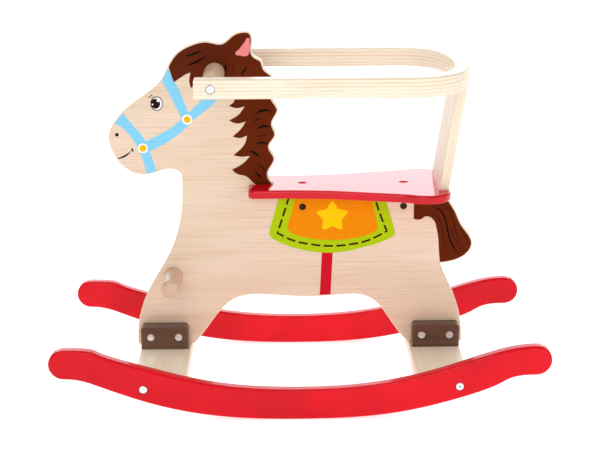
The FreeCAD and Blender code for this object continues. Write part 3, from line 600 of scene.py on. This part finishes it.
# The mane, down the neck in five points, and the forelock between the ears and over the halter.
mane = (
    ((-20, 455, 1), (-20, 520, 1), (-100, 520, 1), (-112, 486), (-126, 470), (-130, 448), (-128, 436, 1),
     (-118, 440), (-109, 436, 1), (-112, 424, 1), (-98, 424), (-87, 412), (-94.5, 403.5, 1), (-84, 400.5),
     (-73, 403, 1), (-82, 391), (-95, 383, 1), (-84, 379), (-72, 381.5, 1), (-79, 371), (-90.5, 360.5, 1),
     (-80, 358.5), (-70.5, 362, 1), (-74, 350), (-89.5, 334, 1), (-78, 332), (-67, 333, 1), (-76, 323),
     (-92, 313.5, 1), (-86, 308), (-72, 303.5), (-62, 294), (-56, 290, 1), (-56, 276, 1), (-15, 276, 1)),
)
printed("mane_print", mane, hair, layer=2)
forelock = (
    ((-100, 520, 1), (-190, 520, 1), (-177, 470, 1), (-174.5, 455), (-169, 437, 1), (-160, 443), (-152, 448),
     (-146, 450, 1), (-148, 438), (-146, 428.5, 1), (-140, 434), (-134, 444, 1), (-124, 436), (-108, 446, 1),
     (-96, 470), (-98, 489)),
)
printed("forelock_print", forelock, forelock_ink, layer=3)
ear = (((-84.5, 475), (-79, 482), (-72, 491), (-66.5, 497), (-65, 490), (-65, 480), (-67, 474), (-71, 472),
        (-78, 473)),)
printed("inner_ear_print", ear, ink("ear_pink_ink", 240, 140, 140), layer=3)

mane_lines = (
    strand(3.4, (-61, 391), (-48, 397), (-35, 396)), strand(3.4, (-58, 371), (-48, 374.8), (-37, 373)),
    strand(3.0, (-59, 349.5), (-50, 351.8), (-40, 349.5)), strand(3.6, (-69, 340.5), (-60, 337), (-53, 330)),
    strand(3.2, (-61, 311), (-56, 306), (-51, 301)), strand(3.2, (-99, 446), (-98.5, 455), (-97, 464)),
    strand(2.8, (-79, 446), (-73, 452), (-69, 459)),
)
printed("mane_line_print", mane_lines, line_ink, layer=4)
soft_lines = (
    strand(2.4, (-63, 380.5), (-56, 384.5), (-49, 386)), strand(2.4, (-58, 360), (-51, 361.8), (-44, 361)),
    strand(2.4, (-57, 323), (-50, 316), (-45, 309)), strand(2.2, (-89, 449), (-88, 455), (-88, 461)),
)
printed("soft_mane_line_print", soft_lines, soft_line_ink, layer=3)
forelock_lines = (
    strand(2.8, (-156, 472.5), (-141, 475.5), (-127, 481.5)),
    strand(3.2, (-153, 459.5), (-138, 464.5), (-123, 473.5)),
)
printed("forelock_line_print", forelock_lines, line_ink, layer=4)

# The face: an oval eye with two lights in it, a nostril and a small smile.
EYE = Vector((-193.5, 407.5))
dark_ink = ink("face_dark_ink", 34, 20, 18, thin=0.7)
printed("eye_rim_print", [round_dot(EYE.x, EYE.y, 8.5, 10)], dark_ink, layer=1)
eye_ink = ink("eye_white_ink", 242, 244, 248)
printed("eye_white_print", [round_dot(EYE.x + 0.2, EYE.y, 7.3, 8.8)], eye_ink, layer=2)
printed("pupil_print", [round_dot(EYE.x - 1.4, EYE.y, 6.2, 7)], dark_ink, layer=3)
printed("eye_light_print", [round_dot(EYE.x + 2, EYE.y + 4.3, 1.8), round_dot(EYE.x - 5.6, EYE.y - 1, 1.2)],
        ink("eye_light_ink", 250, 250, 252), layer=4)
face_lines = (
    strand(1.35, (-200.5, 415), (-202.5, 416.8), (-205, 418)),
    strand(1.35, (-198.5, 417), (-200, 419), (-202, 420.4)),
    strand(2.55, (-253, 330), (-241, 333.6), (-228.5, 343)),
    strand(2.25, (-230.5, 346.5), (-229, 343), (-227.5, 339)),
    round_dot(-249.5, 364.5, 2.5),
)
printed("face_line_print", face_lines, dark_ink, layer=1)

# The saddle blanket: a green border round an orange field, with a star, and a red girth strap below.
blanket = (((-25, 283, 1), (-40.6, 227, 1), (-41.5, 219.5), (-37, 213.5), (-20, 204.3), (0, 197.5),
            (45, 191.5), (96, 200.5), (127, 211.5), (134.5, 216.5), (135.2, 223.5, 1), (118, 283, 1)),)
field = (((-1, 283, 1), (-15.8, 232, 1), (-15.5, 226.5), (-10, 221), (10, 214.3), (45, 210.3), (80, 213.3),
          (105, 221), (111, 225.5), (111, 230.5, 1), (99, 283, 1)),)
girth = (((32.6, 195, 1), (48, 195, 1), (44.5, 120, 1), (29, 120, 1)),)
printed("girth_print", girth, ink("girth_red_ink", 205, 18, 38), layer=1)
printed("blanket_border_print", blanket, ink("blanket_green_ink", 172, 203, 12), layer=2)
printed("blanket_field_print", field, ink("blanket_orange_ink", 234, 140, 0), layer=3)

STAR_MIDDLE = Vector((47.3, 244.5))
STAR_POINT, STAR_WAIST, STAR_CAP = 25.2, 13.8, 0.66
star = []
for arm in range(5):
    before, tip, after = [Vector((math.cos(math.radians(angle)), math.sin(math.radians(angle))))
                          for angle in (54 + 72 * arm, 90 + 72 * arm, 126 + 72 * arm)]
    first, last = STAR_WAIST * before, STAR_WAIST * after
    for x, z, *corner in ((*first, 1), (*first.lerp(STAR_POINT * tip, STAR_CAP), 1),
                          (*((STAR_POINT - 2.4) * tip),), (*last.lerp(STAR_POINT * tip, STAR_CAP), 1)):
        star.append((STAR_MIDDLE.x + x, STAR_MIDDLE.y + z, *corner))
printed("star_print", [star], ink("star_yellow_ink", 252, 206, 0), layer=4)

# The tail: brown hair down the back of the panel, with one bold strand and four faint ones.
tail = (((161.5, 290, 1), (161.5, 240, 1), (170, 239), (179, 243.5), (188, 240), (195, 222), (198.5, 190),
         (201, 165, 1), (270, 165, 1), (270, 290, 1)),)
printed("tail_print", tail, hair, layer=1)
tail_strand = strand(2.2, (187, 258), (199, 252), (206, 240), (210, 222), (216, 203), (227, 186))
printed("tail_line_print", [tail_strand], line_ink, layer=2)
soft_strands = (
    strand(1.3, (194, 263), (210, 253), (218, 236), (223, 215), (232, 198)),
    strand(1.2, (203, 263), (219, 248), (228, 230), (234, 214), (242, 205)),
    strand(1.2, (183, 250), (193, 245), (201, 230), (205, 208), (213, 184)),
    strand(1.1, (214, 232), (217, 218), (224, 204), (233, 190)),
)
printed("soft_tail_line_print", soft_strands, soft_line_ink, layer=2)

# Stitches round the blanket, each a short dash that follows the seam and turns its corners.
STITCH, STITCH_GAP, STITCH_WIDTH = 12.9 * MM, 5 * MM, 2.7 * MM
SEAM_LAYER = 2.5
SEAM = ((-13, 275), (-22, 246), (-30, 221), (-9, 210.5), (18, 204), (45, 201.5), (72, 203.5), (98, 209.5),
        (124, 222.5), (116, 243), (105, 275))


def stitch_tree():
    """Cuts every path into dashes of one length, and gives each a flat raised section."""
    tree = bpy.data.node_groups.new("stitch_dashes", "GeometryNodeTree")
    tree.interface.new_socket("Seam", in_out="INPUT", socket_type="NodeSocketGeometry")
    for label in ("Stitch", "Gap", "Width", "Height"):
        tree.interface.new_socket(label, in_out="INPUT", socket_type="NodeSocketFloat")
    tree.interface.new_socket("Thread", in_out="INPUT", socket_type="NodeSocketMaterial")
    tree.interface.new_socket("Dashes", in_out="OUTPUT", socket_type="NodeSocketGeometry")
    given = add(tree, "NodeGroupInput")
    wanted = tree.nodes.new("NodeGroupOutput")
    path = add(tree, "GeometryNodeMeshToCurve", {"Mesh": given["Seam"]})[0]
    pitch = reckon(tree, "ADD", given["Stitch"], given["Gap"])
    length = add(tree, "GeometryNodeSplineLength")["Length"]
    count = reckon(tree, "FLOOR", reckon(tree, "DIVIDE", length, pitch))
    copies = add(tree, "GeometryNodeDuplicateElements", {"Geometry": path, "Amount": count}, domain="SPLINE")
    start = reckon(tree, "MULTIPLY", copies["Duplicate Index"], pitch)
    trim = tree.nodes.new("GeometryNodeTrimCurve")
    trim.mode = "LENGTH"
    tree.links.new(copies["Geometry"], trim.inputs["Curve"])
    lengths = [socket for socket in trim.inputs if socket.name in ("Start", "End") and socket.enabled]
    tree.links.new(start, lengths[0])
    tree.links.new(reckon(tree, "ADD", start, given["Stitch"]), lengths[1])
    sizes = {"Width": given["Height"], "Height": given["Width"]}
    section = add(tree, "GeometryNodeCurvePrimitiveQuadrilateral", sizes)
    swept = {"Curve": trim.outputs[0], "Profile Curve": section[0], "Fill Caps": True}
    dashes = add(tree, "GeometryNodeCurveToMesh", swept)[0]
    real = add(tree, "GeometryNodeRealizeInstances", {"Geometry": dashes})[0]
    coloured = add(tree, "GeometryNodeSetMaterial", {"Geometry": real, "Material": given["Thread"]})[0]
    tree.links.new(coloured, wanted.inputs[0])
    return tree


def seam_line(side):
    """The seam as a smooth line on one face of the panel, its two lower corners kept."""
    drawing = bpy.data.curves.new("seam", "CURVE")
    drawing.dimensions = "3D"
    drawing.resolution_u = 8
    line = drawing.splines.new("BEZIER")
    line.bezier_points.add(len(SEAM) - 1)
    height = PANEL_FACE + SEAM_LAYER * FILM
    for point, (along, up) in zip(line.bezier_points, SEAM):
        point.co = (along * MM, side * height, up * MM)
        corner = (along, up) in (SEAM[2], SEAM[-3])
        point.handle_left_type = point.handle_right_type = "VECTOR" if corner else "AUTO"
    item = bpy.data.objects.new("seam", drawing)
    bpy.context.collection.objects.link(item)
    bpy.context.view_layer.update()
    mesh = bpy.data.meshes.new_from_object(item)
    bpy.data.objects.remove(item)
    return mesh


thread = ink("stitch_brown_ink", 66, 24, 2)
seams = bmesh.new()
for side in (-1, 1):
    seams.from_mesh(seam_line(side))
seam_mesh = bpy.data.meshes.new("blanket_seams")
seams.to_mesh(seam_mesh)
seams.free()
seam = bpy.data.objects.new("blanket_seams", seam_mesh)
bpy.context.collection.objects.link(seam)
stitching = seam.modifiers.new("stitching", "NODES")
stitching.node_group = stitch_tree()
values = {"Stitch": STITCH, "Gap": STITCH_GAP, "Width": STITCH_WIDTH, "Height": 2 * FILM, "Thread": thread}
for item in stitching.node_group.interface.items_tree:
    if item.item_type == "SOCKET" and item.in_out == "INPUT" and item.name in values:
        stitching[item.identifier] = values[item.name]
bpy.context.view_layer.update()
dashes = bpy.data.meshes.new_from_object(seam.evaluated_get(bpy.context.evaluated_depsgraph_get()))
seam.modifiers.clear()
bpy.data.objects.remove(seam)
closed = bmesh.new()
closed.from_mesh(dashes)
bmesh.ops.recalc_face_normals(closed, faces=closed.faces)
closed.to_mesh(dashes)
closed.free()
piece_from("blanket_stitch_print", dashes, thread)

# ------------------------------------------------------------------ seat board
# A plywood board with a slot for the neck, its edges rounded over and lacquered in the rockers' red. Two
# bolts from above pull it down on barrel nuts in the panel, and their sunk heads are painted red too.

SEAT_RED = (218, 0, 28)
wear(lacquer("seat_lacquer", *SEAT_RED, gloss=0.1, coat=0.4), "seat_board")
wear(lacquer("seat_bolt_paint", *SEAT_RED, gloss=0.5, coat=0), "seat_bolts")

# ------------------------------------------------------------------ foot bar and hand bar
# Turned hardwood dowels, pressed through holes in the panel. The foot bar's ends are rounded, and the
# hand bar ends against the arms of the safety ring, which are bolted to it.

DOWEL_LIGHT, DOWEL_DARK = (214, 182, 154), (186, 146, 110)


def turned_wood(name):
    material, tree, shader, place = finish(name, 0.45, 0.2, 0.25)
    along = turned_place(tree, place, turn=(0, 0, 90))
    figure = use(tree, FIGURE, Place=along, Light=mixed(*DOWEL_LIGHT), Dark=mixed(*DOWEL_DARK),
                 Strength=0.75, Bands=60.0, Lines=500.0)
    tree.links.new(figure["Colour"], shader.inputs["Base Color"])
    relief(tree, shader, figure["Height"], 0.3, 0.0001)
    return material


wear(turned_wood("dowel_wood"), "footrest_dowel", "handle_dowel", "rocker_pins", "post_pins")

# ------------------------------------------------------------------ safety ring and post
# The ring is a D cut from thick plywood, so its sides show many level plies. It stands on a leaning
# plywood post, whose sides show its plies running up it.

RING_LIGHT, RING_DARK = (238, 222, 196), (216, 190, 152)
RING_PLY = 2.4 * MM
POST_PLY = 1.55 * MM
POST_LEAN = 8.5
ring_low, ring_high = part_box("safety_ring")
ring_middle = (ring_low + ring_high) / 2
wear(plywood("ring_plywood", RING_LIGHT, RING_DARK, RING_PLY, ring_high.z - ring_low.z, across=2,
             centre=(0, 0, ring_middle.z), strength=0.55), "safety_ring")
post_low, post_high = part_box("ring_post")
post_middle = (post_low + post_high) / 2
lean = math.radians(POST_LEAN)
post_depth = post_high.x - post_low.x - (post_high.z - post_low.z) * math.tan(lean)
wear(plywood("post_plywood", RING_LIGHT, RING_DARK, POST_PLY, post_depth * math.cos(lean), across=2,
             centre=post_middle, turn=(0, 90 + POST_LEAN, 0)), "ring_post")

# ------------------------------------------------------------------ steel fixings
# Zinc-plated socket bolts, sleeve nuts, barrel nuts and screws. Their plating is bright but slightly
# mottled. The seat's barrel nuts are coloured dark brown instead: painted shade of the deep holes they sit
# in.


def plated_steel(name, bright, dull, roughness):
    material, tree, shader, place = finish(name, roughness, metallic=1.0)
    mottle = noise(tree, stretched(tree, place, (260, 260, 260)), 3.0)
    turning = noise(tree, stretched(tree, place, (2500, 300, 2500)), 1.0)
    colour = between(tree, eased(tree, mottle, 0.35, 0.7), mixed(*bright), mixed(*dull))
    tree.links.new(colour, shader.inputs["Base Color"])
    tree.links.new(eased(tree, mottle, 0.3, 0.7, roughness, roughness + 0.12), shader.inputs["Roughness"])
    relief(tree, shader, turning, 0.1, 0.00005)
    return material


zinc = plated_steel("zinc_plate", (236, 238, 240), (206, 210, 214), 0.28)
wear(zinc, "rocker_bolts", "rocker_barrel_nuts", "cross_board_screws", "leg_bolts", "leg_sleeve_nuts",
     "arm_bolts", "arm_inserts", "post_screws")
# Painted shade: the seat's barrel nuts are coloured dark brown, as if shaded deep in their holes, not
# steel's own colour.
wear(plated_steel("painted_shade_nut_steel", (70, 48, 36), (40, 26, 20), 0.45), "seat_barrel_nuts")

# ------------------------------------------------------------------ floor, light and camera
# The horse stands on a white light table in a white room, with soft lights on all sides, and the
# broadest behind it, so that the lacquer shines along its upper edges.

FLOOR_REACH, FLOOR_GLOW, ROOM_LIGHT = 12, 0.55, 0.4
floor_mesh = bpy.data.meshes.new("floor")
floor_corners = [(FLOOR_REACH * along, FLOOR_REACH * across, 0)
                 for along, across in ((-1, -1), (1, -1), (1, 1), (-1, 1))]
floor_mesh.from_pydata(floor_corners, [], [(0, 1, 2, 3)])
floor = bpy.data.objects.new("floor", floor_mesh)
bpy.context.collection.objects.link(floor)
floor_finish, tree, shader, place = finish("white_floor", 0.9)
shader.inputs["Base Color"].default_value = mixed(250, 250, 250)
shader.inputs["Emission Color"].default_value = (1, 1, 1, 1)
shader.inputs["Emission Strength"].default_value = FLOOR_GLOW
floor_mesh.materials.append(floor_finish)

room = bpy.data.worlds.new("white_room")
room.use_nodes = True
room.node_tree.nodes["Background"].inputs["Color"].default_value = (1, 1, 1, 1)
room.node_tree.nodes["Background"].inputs["Strength"].default_value = ROOM_LIGHT
bpy.context.scene.world = room


def soft_light(name, place, aim, width, height, power, colour=(1, 1, 1)):
    """A broad soft light that faces a point on the horse."""
    lamp = bpy.data.lights.new(name, "AREA")
    lamp.shape = "RECTANGLE"
    lamp.size, lamp.size_y, lamp.energy = width, height, power
    lamp.color = colour
    item = bpy.data.objects.new(name, lamp)
    item.location = place
    item.rotation_euler = (Vector(aim) - Vector(place)).to_track_quat("-Z", "Y").to_euler()
    bpy.context.collection.objects.link(item)


HORSE = (0, 0, 0.25)
soft_light("back_light", (0, 5.6, 2.0), HORSE, 8.0, 3.0, 200, (0.95, 0.96, 1.0))
soft_light("top_light", (0, 0.3, 3.0), HORSE, 3.0, 3.0, 32)
soft_light("key_light", (-0.7, -3.1, 1.5), HORSE, 1.6, 1.6, 28)
soft_light("side_light", (2.6, -1.6, 1.4), HORSE, 1.6, 1.6, 15)

FOCAL_LENGTH, SENSOR_WIDTH = 83.03, 36
CAMERA_PLACE = (-0.0224, -1.8715, 0.7863)
YAW, PITCH, ROLL = 0.744, 16.542, -0.295
sight = bpy.data.cameras.new("camera")
sight.lens = FOCAL_LENGTH
sight.sensor_width = SENSOR_WIDTH
sight.clip_end = 100
camera = bpy.data.objects.new("camera", sight)
turned = Matrix.Rotation(math.radians(-YAW), 4, "Z")
tilted = Matrix.Rotation(math.radians(90 - PITCH), 4, "X")
rolled = Matrix.Rotation(math.radians(ROLL), 4, "Z")
camera.matrix_world = Matrix.Translation(CAMERA_PLACE) @ turned @ tilted @ rolled
bpy.context.collection.objects.link(camera)
bpy.context.scene.camera = camera
bpy.context.scene.view_settings.view_transform = "Standard"
